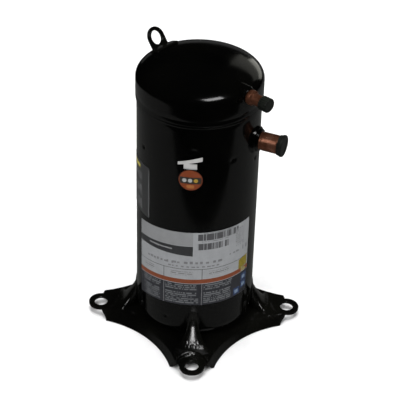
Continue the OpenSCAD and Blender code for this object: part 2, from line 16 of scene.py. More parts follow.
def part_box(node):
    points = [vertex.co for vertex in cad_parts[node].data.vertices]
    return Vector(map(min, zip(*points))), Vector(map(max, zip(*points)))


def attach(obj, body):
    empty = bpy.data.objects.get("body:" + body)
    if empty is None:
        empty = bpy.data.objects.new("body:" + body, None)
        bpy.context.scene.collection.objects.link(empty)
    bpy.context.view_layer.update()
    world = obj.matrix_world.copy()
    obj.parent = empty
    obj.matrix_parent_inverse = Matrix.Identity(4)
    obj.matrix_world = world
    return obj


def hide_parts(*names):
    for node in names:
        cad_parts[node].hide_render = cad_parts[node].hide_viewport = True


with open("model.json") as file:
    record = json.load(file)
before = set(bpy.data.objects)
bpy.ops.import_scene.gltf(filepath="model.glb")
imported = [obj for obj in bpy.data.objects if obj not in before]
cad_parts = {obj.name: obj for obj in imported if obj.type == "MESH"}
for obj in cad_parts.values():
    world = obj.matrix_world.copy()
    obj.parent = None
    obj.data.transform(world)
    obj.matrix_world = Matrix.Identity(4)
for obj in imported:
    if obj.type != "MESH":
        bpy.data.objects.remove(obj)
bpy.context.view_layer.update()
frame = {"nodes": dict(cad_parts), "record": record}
rng = random.Random(7)

MM = 0.001
BODY = "shell"

# ---- Sizes that come from the frame, in millimetres ----


def low(node):
    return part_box(node)[0] / MM


def high(node):
    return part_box(node)[1] / MM


def mount(name):
    return next(m for m in frame["record"]["mounts"] if m["name"] == name)


def toward(deg):
    """Unit vector that points away from the axis in a direction round the shell."""
    a = math.radians(deg)
    return Vector((math.sin(a), -math.cos(a), 0.0))


def direction_of(axis):
    return math.degrees(math.atan2(axis[0], -axis[1]))


def radial_span(node, deg):
    """Least and greatest distance of a node's points along a direction, in millimetres."""
    along = [v.co.dot(toward(deg)) / MM for v in frame["nodes"][node].data.vertices]
    return min(along), max(along)


def socket(kind):
    """Direction, bore radius and height of a tube socket."""
    found = mount(kind + "_socket")
    return direction_of(found["axis"]), found["dims"]["r_mm"], found["pos_m"][2] / MM


SHELL_R = high("bottom_cap").x
TUBE_LOW = low("shell_tube").z
CAP_R = high("top_cap").x
SEAM_Z = low("top_cap").z
DOME_Z = high("top_cap").z
ARM_TOP = low("bottom_cap").z
FOOT_R = mount("base_bolts")["dims"]["pcd_mm"] / 2
FOOT_HOLE_R = mount("base_bolts")["dims"]["hole_r_mm"]
SUCTION_DIR, SUCTION_BORE_R, SUCTION_Z = socket("suction")
DISCHARGE_DIR, DISCHARGE_BORE_R, DISCHARGE_Z = socket("discharge")
LUG_EYE_R = mount("lifting_eye")["dims"]["r_mm"]
BOX_LOW, BOX_HIGH = low("terminal_box"), high("terminal_box")
COVER_LOW, COVER_HIGH = low("terminal_cover"), high("terminal_cover")

# Thicknesses of the base, shell and top cap, the bottom head's knuckle, and the tubes' walls
SHEET = 3.0
WALL = 3.5
CAP_WALL = 3.0
KNUCKLE = 20.0
SUCTION_WALL = 1.0
DISCHARGE_WALL = 1.1
# The dome is a rounded superellipse that starts at DOME_LOW
DOME_LOW = 390.0
DOME_POWER = 2.4
# Hole in the shell's rear for the terminal cup
TERMINAL_DIR = 180
TERMINAL_Z = 246
TERMINAL_HOLE_R = 22.05
# Labels: inner radius, film thickness and step of each printed layer
LABEL_R = SHELL_R + 0.1
LABEL_T = 0.25
PRINT_T = 0.04

# ---- Camera and studio, in metres, degrees and watts ----

CAMERA_ELEVATION = 34.98
CAMERA_DISTANCE = 1.8816
CAMERA_ROLL = 1.668
CAMERA_LENS = 122.99
CAMERA_TARGET = Vector((0.00467, 0.0, 0.19497))
MIDDLE = (0, 0, 0.2)
WARM = (1, 1, 0.9)
FLOOR_HALF = 4
FLOOR_Z = -0.0006
# Ring of corners of the sheet that glossy surfaces mirror. The room beside it is dark, which
# leaves the dark wedge down the shell's front.
PAPER_CORNERS = [(-1.6, -0.69), (1.6, -0.05), (1.6, 2.4), (0.15, 2.4), (-0.45, 0.6), (-1.6, 0.3)]


def camera():
    """Camera at the reference angle, with a slight roll."""
    data = bpy.data.cameras.new("camera")
    data.lens = CAMERA_LENS
    data.sensor_width = 36.0
    cam = bpy.data.objects.new("camera", data)
    bpy.context.collection.objects.link(cam)
    tilt = Matrix.Rotation(math.radians(90 - CAMERA_ELEVATION), 4, "X")
    roll = Matrix.Rotation(math.radians(CAMERA_ROLL), 4, "Z")
    back = Matrix.Translation((0, 0, CAMERA_DISTANCE))
    cam.matrix_world = Matrix.Translation(CAMERA_TARGET) @ tilt @ roll @ back
    bpy.context.scene.camera = cam


def area_light(name, where, aim, size, power, tint=(1, 1, 1), mirrored=False):
    """Rectangular light. Only the mirrored ones show in glossy surfaces."""
    data = bpy.data.lights.new(name, "AREA")
    data.shape = "RECTANGLE"
    data.size, data.size_y = size
    data.energy = power
    data.color = tint
    light = bpy.data.objects.new(name, data)
    bpy.context.collection.objects.link(light)
    light.location = where
    light.rotation_euler = (Vector(aim) - Vector(where)).to_track_quat("-Z", "Y").to_euler()
    light.visible_glossy = mirrored
    light.visible_diffuse = not mirrored


def studio():
    """Pale world that only the camera sees, three soft lights, and the lights for glints."""
    scene = bpy.context.scene
    scene.view_settings.view_transform = "Standard"
    scene.view_settings.look = "None"
    world = bpy.data.worlds.new("studio")
    scene.world = world
    world.use_nodes = True
    background = world.node_tree.nodes["Background"]
    background.inputs["Color"].default_value = (0.93, 0.94, 0.95, 1)
    background.inputs["Strength"].default_value = 0.9
    world.cycles_visibility.glossy = False
    world.cycles_visibility.diffuse = False
    area_light("key", (-1.0, -1.3, 1.8), MIDDLE, (1.2, 1.2), 25)
    area_light("fill", (1.4, -1.0, 1.5), MIDDLE, (1.2, 1.2), 16)
    area_light("top", (0.0, 0.8, 2.2), (0, 0.3, 0), (2.4, 2.0), 45)
    area_light("dome_glint", (0.48, -0.60, 1.9), (0, 0, 0.4), (0.7, 0.4), 6.5, mirrored=True)
    area_light("rib_glint", (0.0, -2.0, 1.35), (0, -0.1, 0.03), (0.22, 1.3), 17.0, mirrored=True)
    area_light("copper_glint", (-0.9, -0.9, 1.35), MIDDLE, (0.35, 0.9), 4.5, mirrored=True)
    area_light("horizon", (0.3, 2.3, 0.45), MIDDLE, (3.0, 0.5), 0.55, mirrored=True)
    area_light("horizon_right", (1.25, 2.0, 0.8), MIDDLE, (1.2, 0.6), 3.0, WARM, mirrored=True)
    area_light("horizon_haze", (1.05, 1.9, 1.35), MIDDLE, (1.4, 0.7), 1.0, WARM, mirrored=True)


def floor_sun():
    """Soft sun straight down on the floor, which stays pale far from the object."""
    data = bpy.data.lights.new("floor_sun", "SUN")
    data.energy = 1.6
    data.angle = 0.6
    sun = bpy.data.objects.new("floor_sun", data)
    bpy.context.collection.objects.link(sun)
    sun.visible_glossy = False


def only_on(light_name, pieces):
    """Lets a light reach only some pieces, so its glint stays off the rest."""
    group = bpy.data.collections.new(light_name + "_pieces")
    for piece in pieces:
        group.objects.link(piece)
    bpy.data.objects[light_name].light_linking.receiver_collection = group


def stage_sheet(name, corners, material):
    """Flat sheet just under the feet, through a ring of (x, y) corners in metres."""
    bm = bmesh.new()
    bm.faces.new([bm.verts.new((x, y, FLOOR_Z)) for x, y in corners])
    mesh = bpy.data.meshes.new(name)
    bm.to_mesh(mesh)
    bm.free()
    sheet = bpy.data.objects.new(name, mesh)
    bpy.context.collection.objects.link(sheet)
    mesh.materials.append(material)
    return sheet


def floor():
    """Pale floor, and the dimmer paper that glossy surfaces mirror in its place."""
    square = [(x * FLOOR_HALF, y * FLOOR_HALF) for x, y in ((-1, -1), (1, -1), (1, 1), (-1, 1))]
    sheet = stage_sheet("floor", square, floor_material())
    sheet.visible_glossy = False
    shine = glow("paper_glow", (0.97, 0.98, 0.95), 0.12)
    paper = stage_sheet("mirrored_paper", PAPER_CORNERS, shine)
    paper.visible_camera = False
    paper.visible_diffuse = False
    paper.visible_shadow = False
    floor_sun()
    only_on("floor_sun", [sheet])


# ---- Materials ----


class Nodes:
    """Short way of building a node material."""

    def __init__(self, name):
        self.material = bpy.data.materials.new(name)
        self.material.use_nodes = True
        self.tree = self.material.node_tree
        self.shader = self.tree.nodes["Principled BSDF"]
        self.place = self.tree.nodes.new("ShaderNodeTexCoord")

    def put(self, node, **inputs):
        """Sets named inputs, written with _ for a space, or links them to other sockets."""
        for name, value in inputs.items():
            self.fill(node.inputs[name.replace("_", " ")], value)

    def fill(self, socket, value):
        if isinstance(value, bpy.types.NodeSocket):
            self.tree.links.new(value, socket)
        elif isinstance(value, tuple) and len(socket.default_value) == 4:
            socket.default_value = (*value, 1.0)
        else:
            socket.default_value = value

    def add(self, kind, **inputs):
        node = self.tree.nodes.new("ShaderNode" + kind)
        self.put(node, **inputs)
        return node

    def noise(self, scale, detail=3.0, roughness=0.5, stretch=None):
        """Noise with cells of about 1 / scale metres; stretch squeezes it along axes."""
        where = self.place.outputs["Object"]
        if stretch:
            where = self.add("Mapping", Scale=stretch, Vector=where).outputs["Vector"]
        node = self.add("TexNoise", Scale=scale, Detail=detail, Roughness=roughness, Vector=where)
        return node.outputs["Fac"]

    def ramp(self, fac, *stops):
        """Colour ramp; each stop is a place and a grey value or a colour."""
        node = self.add("ValToRGB", Fac=fac)
        elements = node.color_ramp.elements
        while len(elements) < len(stops):
            elements.new(0.5)
        for element, (at, value) in zip(elements, stops):
            element.position = at
            colour = value if isinstance(value, tuple) else (value, value, value)
            element.color = (*colour, 1.0)
        return node.outputs["Color"]

    def math(self, operation, a, b=0.0):
        node = self.add("Math")
        node.operation = operation
        self.fill(node.inputs[0], a)
        self.fill(node.inputs[1], b)
        return node.outputs["Value"]

    def mix(self, fac, a, b):
        """Mix of two colours; a colour mix has them on inputs 6 and 7."""
        node = self.add("Mix", Factor=fac)
        node.data_type = "RGBA"
        self.fill(node.inputs[6], a)
        self.fill(node.inputs[7], b)
        return node.outputs[2]

    def bump(self, height, distance, strength=1.0, under=None):
        node = self.add("Bump", Strength=strength, Distance=distance, Height=height)
        if under:
            self.put(node, Normal=under)
        return node.outputs["Normal"]

    def finish(self, colour, roughness, metallic=0.0, normal=None, specular=0.5):
        self.put(self.shader, Base_Color=colour, Roughness=roughness, Metallic=metallic,
                 Specular_IOR_Level=specular)
        if normal:
            self.put(self.shader, Normal=normal)
        return self.material


def glow(name, tint, strength):
    """Surface that only gives off light."""
    n = Nodes(name)
    n.put(n.shader, Base_Color=(0, 0, 0), Specular_IOR_Level=0.0, Emission_Color=tint,
          Emission_Strength=strength)
    return n.material


def floor_material():
    n = Nodes("floor_paper")
    fine = n.ramp(n.noise(60), (0.3, 0.86), (0.7, 0.9))
    return n.finish(fine, 0.9, specular=0.1)


def black_paint(name, dark=(0.0005, 0.0006, 0.0006), dusty=(0.0014, 0.0014, 0.0012),
                smooth=0.10, rough=0.2, peel=0.00002):
    """Thick black gloss paint: faint orange peel, cloudy gloss and a little dust."""
    n = Nodes(name)
    clouds = n.noise(14, detail=4)
    colour = n.ramp(clouds, (0.35, dark), (0.75, dusty))
    specks = n.ramp(n.noise(900, detail=1), (0.74, 0.0), (0.80, 1.0))
    colour = n.mix(n.math("MULTIPLY", specks, 0.10), colour, (0.03, 0.03, 0.027))
    gloss = n.ramp(n.noise(35, detail=5), (0.3, smooth), (0.8, rough))
    ripple = n.bump(n.noise(420, detail=2), peel, 0.5)
    wave = n.bump(n.noise(45, detail=2), 0.00016, 0.35, under=ripple)
    return n.finish(colour, gloss, normal=wave)


def steel(name, light=(0.42, 0.42, 0.43), dark=(0.30, 0.30, 0.32), rough=(0.28, 0.45),
          grain=(1, 1, 30)):
    """Machined steel: fine tool marks and uneven brightness."""
    n = Nodes(name)
    colour = n.ramp(n.noise(55, detail=5), (0.3, dark), (0.7, light))
    marks = n.noise(160, detail=2, stretch=grain)
    gloss = n.ramp(marks, (0.3, rough[0]), (0.7, rough[1]))
    normal = n.bump(marks, 0.00002, 0.4)
    return n.finish(colour, gloss, metallic=1.0, normal=normal)


def cast_iron(name, light=(0.20, 0.20, 0.205), dark=(0.10, 0.10, 0.105)):
    n = Nodes(name)
    colour = n.ramp(n.noise(90, detail=6, roughness=0.7), (0.3, dark), (0.7, light))
    pits = n.noise(700, detail=3)
    normal = n.bump(pits, 0.00012, 0.6)
    gloss = n.ramp(pits, (0.3, 0.42), (0.7, 0.62))
    return n.finish(colour, gloss, metallic=0.85, normal=normal)


def copper(name):
    """Drawn copper tube: warm metal with brown tarnish and fine draw lines."""
    n = Nodes(name)
    tarnish = n.noise(70, detail=5, roughness=0.6)
    colour = n.ramp(tarnish, (0.28, (0.07, 0.022, 0.010)), (0.5, (0.17, 0.065, 0.035)),
                    (0.75, (0.30, 0.14, 0.09)))
    lines = n.noise(320, detail=3)
    gloss = n.ramp(tarnish, (0.3, 0.42), (0.7, 0.24))
    normal = n.bump(lines, 0.00005, 0.5)
    return n.finish(colour, gloss, metallic=0.75, normal=normal)


def rubber(name, dark=(0.004, 0.005, 0.004), light=(0.013, 0.015, 0.012)):
    n = Nodes(name)
    bloom = n.noise(120, detail=5, roughness=0.65)
    colour = n.ramp(bloom, (0.35, dark), (0.75, light))
    gloss = n.ramp(bloom, (0.3, 0.38), (0.75, 0.62))
    normal = n.bump(n.noise(900, detail=3), 0.00012, 0.6)
    return n.finish(colour, gloss, normal=normal, specular=0.4)


def plain(name, tone, change=0.18, rough=(0.4, 0.55), scale=60, bump_scale=600,
          bump=0.00004, metallic=0.0, specular=0.5):
    """Moulded, cast or printed surface: a tone that varies a little, with fine bump."""
    n = Nodes(name)
    cloud = n.noise(scale, detail=5)
    less = tuple(c * (1 - change) for c in tone)
    more = tuple(min(1.0, c * (1 + change)) for c in tone)
    colour = n.ramp(cloud, (0.3, less), (0.7, more))
    gloss = n.ramp(cloud, (0.3, rough[0]), (0.7, rough[1]))
    normal = n.bump(n.noise(bump_scale, detail=3), bump, 0.5)
    return n.finish(colour, gloss, metallic=metallic, normal=normal, specular=specular)


def film(name, tone, rough=0.3):
    """Printed label film: near flat ink with a slight mottle under a satin laminate."""
    return plain(name, tone, change=0.06, rough=(rough, rough + 0.08), scale=90,
                 bump_scale=260, bump=0.00002)


def laminations(name):
    """Stacked electrical steel: thin dark lines between the sheets."""
    n = Nodes(name)
    sheets = n.noise(2.0, detail=1, stretch=(0.1, 0.1, 900))
    colour = n.ramp(sheets, (0.35, (0.10, 0.10, 0.105)), (0.6, (0.26, 0.26, 0.27)))
    gloss = n.ramp(n.noise(60), (0.3, 0.4), (0.7, 0.55))
    return n.finish(colour, gloss, metallic=0.8, normal=n.bump(sheets, 0.00008, 0.6))


def enamel_wire(name):
    """Copper winding under varnish: round turns run round the bundle."""
    n = Nodes(name)
    turns = n.noise(6.0, detail=2, stretch=(20, 20, 140))
    colour = n.ramp(turns, (0.3, (0.20, 0.06, 0.02)), (0.7, (0.55, 0.20, 0.07)))
    gloss = n.ramp(turns, (0.3, 0.45), (0.7, 0.25))
    return n.finish(colour, gloss, metallic=0.3, normal=n.bump(turns, 0.0004, 0.8))


def text_rows(name, paper, ink, pitch, fill, word, seed):
    """Rows of short dashes that stand for small print. UV is in millimetres."""
    n = Nodes(name)
    parts = n.add("SeparateXYZ", Vector=n.place.outputs["UV"])
    rows = n.math("DIVIDE", parts.outputs["Y"], pitch)
    words = n.math("DIVIDE", parts.outputs["X"], word)
    in_row = n.math("LESS_THAN", n.math("FRACT", rows), fill)
    pick = n.add("CombineXYZ", X=n.math("FLOOR", words), Y=n.math("FLOOR", rows), Z=seed)
    dice = n.add("TexWhiteNoise", Vector=pick.outputs["Vector"])
    inked = n.math("MULTIPLY", in_row, n.math("GREATER_THAN", dice.outputs["Value"], 0.22))
    colour = n.mix(inked, paper, ink)
    gloss = n.ramp(n.noise(90), (0.3, 0.3), (0.7, 0.4))
    normal = n.bump(n.noise(260), 0.00002, 0.5)
    return n.finish(colour, gloss, normal=normal)


def bar_rows(name, paper, ink, bar, seed):
    """Upright bars of uneven width, on paper. UV is in millimetres."""
    return text_rows(name, paper, ink, pitch=400.0, fill=1.0, word=bar, seed=seed)


# ---- Mesh building ----


def link_mesh(name, bm, materials, sharp=35.0, merge=True):
    """Object from a bmesh in millimetres. Edges bent by more than sharp degrees stay crisp."""
    if merge:
        bmesh.ops.remove_doubles(bm, verts=bm.verts, dist=1e-4)
    bmesh.ops.recalc_face_normals(bm, faces=bm.faces)
    bmesh.ops.scale(bm, vec=(MM, MM, MM), verts=bm.verts)
    mesh = bpy.data.meshes.new(name)
    for face in bm.faces:
        face.smooth = True
    bm.to_mesh(mesh)
    bm.free()
    mesh.set_sharp_from_angle(angle=math.radians(sharp))
    piece = bpy.data.objects.new(name, mesh)
    bpy.context.collection.objects.link(piece)
    for material in materials:
        mesh.materials.append(material)
    return piece


def stand_for(piece, body, node):
    """Lets a piece ride a body in place of a CAD node."""
    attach(piece, body)
    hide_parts(node)
    return piece


def ride_on(piece, body):
    """Lets a piece ride a body beside the CAD nodes."""
    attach(piece, body)


def round_corners(points, steps=5):
    """Closed outline from (x, y, radius) corners, with each corner turned into an arc."""
    out = []
    count = len(points)
    for i, (x, y, radius) in enumerate(points):
        here = Vector((x, y))
        before = Vector(points[i - 1][:2]) - here
        after = Vector(points[(i + 1) % count][:2]) - here
        if radius <= 0 or before.length < 1e-6 or after.length < 1e-6:
            out.append(here)
            continue
        half = before.angle(after) / 2
        reach = min(radius / math.tan(half), before.length * 0.49, after.length * 0.49)
        start = here + before.normalized() * reach
        end = here + after.normalized() * reach
        true_radius = reach * math.tan(half)
        centre = here + (before.normalized() + after.normalized()).normalized() * (
            true_radius / math.sin(half))
        a0 = math.atan2(start.y - centre.y, start.x - centre.x)
        a1 = math.atan2(end.y - centre.y, end.x - centre.x)
        turn = (a1 - a0 + math.pi) % (2 * math.pi) - math.pi
        for k in range(steps + 1):
            a = a0 + turn * k / steps
            out.append(centre + Vector((math.cos(a), math.sin(a))) * true_radius)
    return out


def lathe(bm, outline, steps, place=None, move=None):
    """Turns a closed outline of (radius, height) points round Z, then places it.

    move gives a point's radius from its direction, radius and height.
    """
    place = place or Matrix.Identity(4)
    rings = []
    for radius, height in outline:
        if radius < 1e-6:
            rings.append([bm.verts.new(place @ Vector((0, 0, height)))])
            continue
        ring = []
        for i in range(steps):
            deg = 360.0 * i / steps
            r = move(deg, radius, height) if move else radius
            ring.append(bm.verts.new(place @ (toward(deg) * r + Vector((0, 0, height)))))
        rings.append(ring)
    for a, b in zip(rings, rings[1:] + rings[:1]):
        for i in range(steps):
            corners = [a[i % len(a)], a[(i + 1) % len(a)], b[(i + 1) % len(b)], b[i % len(b)]]
            corners = list(dict.fromkeys(corners))
            if len(corners) > 2:
                bm.faces.new(corners)


def turned(name, outline, steps, material, place=None, move=None, sharp=35.0):
    """Lathed piece of one material."""
    bm = bmesh.new()
    lathe(bm, outline, steps, place, move)
    return link_mesh(name, bm, [material], sharp)


def along(deg, z):
    """Frame whose Z runs outwards in a direction round the shell, at a height."""
    out = toward(deg)
    up = Vector((0, 0, 1))
    side = up.cross(out)
    place = Matrix((side, up, out)).transposed().to_4x4()
    place.translation = Vector((0, 0, z))
    return place


def bridge(bm, loops, closed=True):
    """Skins a list of equally long rings of points with quads."""
    rings = [[bm.verts.new(p) for p in loop] for loop in loops]
    pairs = list(zip(rings, rings[1:]))
    if closed:
        pairs.append((rings[-1], rings[0]))
    for a, b in pairs:
        for i in range(len(a)):
            j = (i + 1) % len(a)
            bm.faces.new((a[i], a[j], b[j], b[i]))
    return rings


def drill(piece, cutters):
    """Cuts the cutter objects out of a piece and removes them."""
    for cutter in cutters:
        modifier = piece.modifiers.new("cut", "BOOLEAN")
        modifier.operation = "DIFFERENCE"
        modifier.solver = "EXACT"
        modifier.object = cutter
    depsgraph = bpy.context.evaluated_depsgraph_get()
    mesh = bpy.data.meshes.new_from_object(piece.evaluated_get(depsgraph))
    piece.modifiers.clear()
    old = piece.data
    piece.data = mesh
    bpy.data.meshes.remove(old)
    for cutter in cutters:
        bpy.data.objects.remove(cutter)


def cutter_rod(radius, start, end, place):
    """Rod for drill, along Z of its place."""
    bm = bmesh.new()
    lathe(bm, [(0, start), (radius, start), (radius, end), (0, end)], 48, place)
    return link_mesh("cutter", bm, [])


def smooth_step(a, b, x):
    """Eased rise from 0 at a to 1 at b."""
    t = min(1.0, max(0.0, (x - a) / (b - a)))
    return t * t * (3 - 2 * t)


def soft_min(a, b, k):
    """Least of two heights, with a rounded meeting of size k."""
    h = max(0.0, k - abs(a - b)) / k
    return min(a, b) - h * h * k / 4


# ---- Base pressing ----

# Each hollow side is an arc round (SIDE_CENTRE, SIDE_CENTRE), with its skirt between two radii
SIDE_CENTRE = 165.0
SIDE_R_LOW = 140.0
SIDE_R_HIGH = 147.4
SIDE_ROUND = 5.0
# Arm ends lean back by ARM_END_SLANT towards their lower corners
ARM_END_R = 134.0
ARM_END_SLANT = 5.0
TAB_R = 17.5
TAB_TOP = 11.5
TAB_HALF_DEG = 7.4
DISH_R = 21.0
BASE_HOLE_R = 54.0
# Gusset on each arm: distance from the axis, height of its crest there and half width
GUSSET = [(82.5, 65.5, 9.0), (83.6, 60.0, 10.0), (84.6, 50.0, 11.0), (88.5, 42.0, 13.0),
          (93.0, 34.8, 15.5), (98.0, 27.2, 19.0), (103.0, 21.0, 23.0), (109.0, 17.0, 27.0),
          (117.0, ARM_TOP, 31.0)]
WRINKLE_START, WRINKLE_END = 98.0, 109.0


def gusset(r):
    """Crest height and half width of the gusset at a distance from the axis."""
    for a, b in zip(GUSSET, GUSSET[1:]):
        if r <= b[0]:
            past = max(0.0, r - a[0])
            return [v0 + (v1 - v0) * past / (b[0] - a[0]) for v0, v1 in zip(a[1:], b[1:])]
    return GUSSET[-1][1:]


def rib_rise(r, across, thin):
    """How far the gusset stands over the arm's top face."""
    crest, half_width = gusset(r)
    u = across / (half_width - thin)
    if u >= 1:
        return 0.0
    return (crest - ARM_TOP) * (1 - u ** 3.4) ** 0.8


def wrinkle(r, across):
    """Small row of puckers where the gusset runs out on the arm."""
    band = smooth_step(WRINKLE_START, 101, r) * (1 - smooth_step(106, WRINKLE_END, r))
    return 0.45 * band * math.sin(across * 1.3) * math.cos(r * 0.9) * smooth_step(15, 9, across)


def pressing_height(x, y, thin=0.0):
    """Height of the pressing's top face; thin moves it inwards, for the under side."""
    r = math.hypot(x, y)
    along_arm, across = max(abs(x), abs(y)), min(abs(x), abs(y))
    side = math.hypot(abs(x) - SIDE_CENTRE, abs(y) - SIDE_CENTRE)
    slope = ARM_TOP / (SIDE_R_HIGH - SIDE_R_LOW)
    top = ARM_TOP - thin
    height = soft_min(top, (side - SIDE_R_LOW - thin) * slope, SIDE_ROUND)
    to_hole = math.hypot(along_arm - FOOT_R, across)
    dish = smooth_step(DISH_R + 1.6 - thin, DISH_R - 0.6 - thin, to_hole)
    height = min(height, top + (TAB_TOP - ARM_TOP) * dish)
    if r > SHELL_R:
        rise = rib_rise(r, across, thin)
        if not thin:
            rise += wrinkle(r, across)
        height += rise * height / top
    return max(0.0, height)


def tab_edge(off):
    """Distance to the rounded end of a foot, off degrees from its middle."""
    a = math.radians(off)
    inside = TAB_R ** 2 - (FOOT_R * math.sin(a)) ** 2
    return FOOT_R * math.cos(a) + math.sqrt(max(0.0, inside))


def side_edge(off, grow):
    """Distance to the hollow side of the star, off degrees from an arm's middle."""
    b = math.radians(45 - off)
    centre = SIDE_CENTRE * math.sqrt(2)
    inside = (SIDE_R_LOW + grow) ** 2 - (centre * math.sin(b)) ** 2
    return centre * math.cos(b) - math.sqrt(inside) if inside > 0 else math.inf


def outline_r(deg, grow=0.0):
    """Distance from the axis to a line on the skirt, which lies grow inside its lowest line."""
    off = abs((deg + 45) % 90 - 45)
    if off < TAB_HALF_DEG:
        return tab_edge(off) - 0.2 * grow
    corner = ARM_END_R - ARM_END_SLANT * smooth_step(TAB_HALF_DEG + 0.8, TAB_HALF_DEG + 5, off)
    return min(side_edge(off, grow), corner)


def spread(stops):
    """List of values from (start, end, step) stretches."""
    values = []
    for start, end, step in stops:
        count = max(1, round((end - start) / step))
        values += [start + (end - start) * k / count for k in range(count)]
    return values


def base_pressing(paint):
    """Stamped star: rows keep to the middle part, then follow the skirt down to its edge."""
    quarter = spread([(-45, -18, 1.5), (-18, -8.4, 0.6), (-8.4, -7.2, 0.2), (-7.2, 7.2, 0.45),
                      (7.2, 8.4, 0.2), (8.4, 18, 0.6), (18, 45, 1.5)])
    columns = [q + 90 * k for k in range(4) for q in quarter]
    last = 99.0
    middle = spread([(BASE_HOLE_R, 78, 8), (78, 82.4, 2), (82.4, 86, 0.45), (86, last, 0.9)])
    middle.append(last)
    shares = [k / 26 for k in range(1, 26)]
    skirt = [10.5, 9, 7.5, 6, 5, 4, 3, 2.2, 1.5, 0.8, 0.3, 0]

    def column(deg, lift, thin):
        """Points of one column, from the middle hole out to the edge."""
        out = toward(deg)
        edge = outline_r(deg, lift + skirt[0])
        start = min(last, edge - 1.5)
        inner = middle
        if start < last:
            inner = [BASE_HOLE_R + (r - BASE_HOLE_R) * (start - BASE_HOLE_R)
                     / (last - BASE_HOLE_R) for r in middle]
        radii = inner + [start + (edge - start) * t for t in shares]
        radii += [outline_r(deg, lift + s) for s in skirt]
        flat = [(out.x * r, out.y * r) for r in radii]
        return [Vector((x, y, pressing_height(x, y, thin))) for x, y in flat]

    bm = bmesh.new()
    top = [column(deg, 0.0, 0.0) for deg in columns]
    under = [column(deg, 0.6, SHEET) for deg in columns]
    bridge(bm, list(zip(*top)) + list(reversed(list(zip(*under)))))
    piece = link_mesh("base_pressing", bm, [paint], sharp=50)
    feet = [toward(a) * FOOT_R for a in (0, 90, 180, 270)]
    drill(piece, [cutter_rod(FOOT_HOLE_R, -5, 30, Matrix.Translation(foot)) for foot in feet])
    return stand_for(piece, BODY, "base_plate")


# ---- Shell ----

# Direction and height of each stake dimple in the shell
STAKES = [(-59, 307), (-3, 327), (34, 307), (67, 288), (-28, 48),
          (124, 307), (-149, 307), (62, 48), (152, 48), (-118, 48)]
STAKE_R = 4.6
STAKE_DEPTH = 1.8
# Reach of the drills that open the shell's wall, and the play round a tube
WALL_DRILL = (60, 100)
DRILL_PLAY = 0.05


def stake_dent(deg, radius, height):
    """Radius of the shell's outer face, dented round each stake."""
    if radius < SHELL_R - 1:
        return radius
    for where, z in STAKES:
        arc = math.radians((deg - where + 180) % 360 - 180) * SHELL_R
        far = math.hypot(arc, height - z)
        if far < STAKE_R:
            radius -= STAKE_DEPTH * (0.5 + 0.5 * math.cos(math.pi * far / STAKE_R)) ** 0.7
    return radius


def shell_skin(paint):
    """Tube, with close rows of points only where the stakes are."""
    top = SEAM_Z - 1
    heights = spread([(TUBE_LOW, 41, 3), (41, 55, 0.9), (55, 280, 25), (280, 335, 0.9),
                      (335, top, 10)])
    outer = [(SHELL_R, z) for z in heights + [top]]
    inner = SHELL_R - WALL
    outline = outer + [(SHELL_R - 0.4, SEAM_Z), (inner, SEAM_Z), (inner, TUBE_LOW)]
    piece = turned("shell_skin", outline, 300, paint, move=stake_dent, sharp=50)
    suction_r = SUCTION_BORE_R + SUCTION_WALL + DRILL_PLAY
    drill(piece, [cutter_rod(TERMINAL_HOLE_R, *WALL_DRILL, along(TERMINAL_DIR, TERMINAL_Z)),
                  cutter_rod(suction_r, *WALL_DRILL, along(SUCTION_DIR, SUCTION_Z))])
    stand_for(piece, BODY, "shell_tube")


def seam_bead(paint):
    """Weld bead under the cap's edge, with the slight ripple of a turned weld."""
    profile_points = [(-0.6, -4.2, 0.2), (0.3, -3.9, 0.8), (1.25, -2.2, 1.2), (1.1, -0.4, 0.5),
                      (-0.6, 0.4, 0.2)]
    outline = round_corners([(SHELL_R + x, SEAM_Z + z, bend) for x, z, bend in profile_points])
    wobble = [rng.uniform(-0.12, 0.12) for _ in range(180)]

    def ripple(deg, radius, height):
        if radius < SHELL_R + 0.2:
            return radius
        return radius + 0.10 * math.sin(deg * 3.0) + wobble[int(deg / 2) % 180]

    bead = turned("seam_bead", outline, 360, paint, move=ripple, sharp=60)
    ride_on(bead, BODY)


def dome_z(r, inset=0.0):
    """Height of the dome's skin, or of a skin inset from it, at a distance from the axis."""
    big_r, big_h = CAP_R - inset, DOME_Z - DOME_LOW - inset
    share = max(0.0, 1 - (min(r, big_r) / big_r) ** DOME_POWER)
    return DOME_LOW + big_h * share ** (1 / DOME_POWER)


def dome_outline(inset, steps):
    big_r = CAP_R - inset
    points = []
    for i in range(steps + 1):
        r = big_r * math.cos(math.radians(90 * i / steps))
        points.append((r if i < steps else 0.0, dome_z(r, inset)))
    return points


def cap_skin(paint):
    """Drawn top cap: turned-in lower lip, a shallow rolled line and a smooth dome."""
    lip = [(-1.4, 0.05), (-0.5, 0.25), (-0.1, 0.9), (0, 1.8), (0, 5.6), (-0.28, 6.4),
           (-0.28, 7.0), (0, 7.8), (0, 14)]
    outline = [(CAP_R + x, SEAM_Z + z) for x, z in lip] + dome_outline(0, 40)
    outline += list(reversed(dome_outline(CAP_WALL, 24))) + [(CAP_R - CAP_WALL, SEAM_Z + 0.05)]
    cap = turned("cap_skin", outline, 256, paint, sharp=50)
    return stand_for(cap, BODY, "top_cap")


def bottom_skin(paint):
    """Bottom head: flat middle and rounded knuckle."""
    r, z = SHELL_R, ARM_TOP

    def knuckle(radius, angles):
        return [(r - KNUCKLE + radius * math.sin(math.radians(a)),
                 z + KNUCKLE - radius * math.cos(math.radians(a))) for a in angles]

    outer = knuckle(KNUCKLE, range(0, 91, 6))
    inner = knuckle(KNUCKLE - WALL, range(90, -1, -10))
    outline = [(0, z)] + outer + inner + [(0, z + WALL)]
    head = turned("bottom_skin", outline, 256, paint, sharp=50)
    stand_for(head, BODY, "bottom_cap")


# ---- Lifting lug ----

